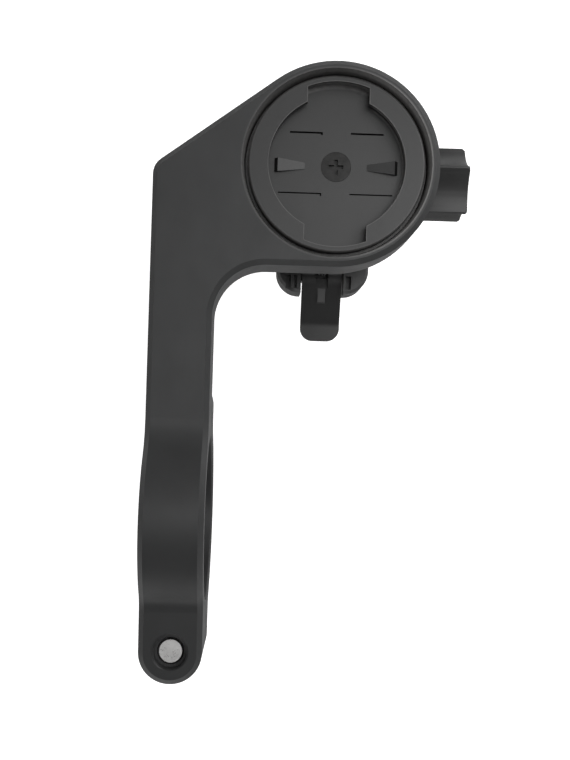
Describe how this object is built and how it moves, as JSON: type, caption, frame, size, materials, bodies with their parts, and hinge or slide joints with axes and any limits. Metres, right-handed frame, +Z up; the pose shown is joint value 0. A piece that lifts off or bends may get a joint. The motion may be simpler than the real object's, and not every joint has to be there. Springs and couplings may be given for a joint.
{
  "type": "bike computer mount",
  "caption": "Flat arm with a bolted handlebar clamp at one end and a round quarter-turn computer seat at the other, over a tilting light bracket on a thumbscrew.",
  "frame": {"origin": "centre of the handlebar bore", "axes": "+X along the handlebar to the right, +Y towards the front of the bicycle, +Z up"},
  "size_m": [0.0628, 0.1182, 0.046],
  "materials": {
    "anodised_black": "satin black anodised",
    "seat_plastic": "fine moulded texture",
    "adapter_plastic": "satin moulded",
    "knob_plastic": "satin moulded",
    "lever_plastic": "satin moulded",
    "black_steel": "black oxide",
    "bright_steel": "zinc plated",
    "spring_steel": "dark wire"
  },
  "bodies": {
    "mount": {"arm_body": "anodised_black", "lower_clamp": "anodised_black", "clamp_screws": "bright_steel", "computer_seat": "seat_plastic", "seat_screw": "black_steel", "adapter_base": "adapter_plastic", "adapter_screws": "black_steel", "captive_nut": "bright_steel"},
    "thumb_screw": {"thumb_bolt": "bright_steel", "thumb_knob": "knob_plastic", "bolt_washer": "bright_steel"},
    "bracket": {"light_bracket": "adapter_plastic", "slide_rail": "adapter_plastic", "rail_screws": "black_steel", "lever_pin": "black_steel", "lever_spring": "spring_steel"},
    "lever": {"release_lever": "lever_plastic"}
  },
  "joints": [
    {"name": "bracket_tilt", "type": "hinge", "parent": "mount", "child": "bracket", "pos_m": [0.028, 0.0693, -0.0105], "axis": [1, 0, 0], "range_deg": [-35, 45]},
    {"name": "knob_turn", "type": "hinge", "parent": "mount", "child": "thumb_screw", "pos_m": [0.028, 0.0693, -0.0105], "axis": [1, 0, 0], "continuous": true},
    {"name": "lever_press", "type": "hinge", "parent": "bracket", "child": "lever", "pos_m": [0.028, 0.0524, -0.0188], "axis": [1, 0, 0], "range_deg": [0, 12], "stiffness_Nm_per_rad": 0.2, "springref_deg": -5.73, "deforming": ["lever_spring"]}
  ]
}
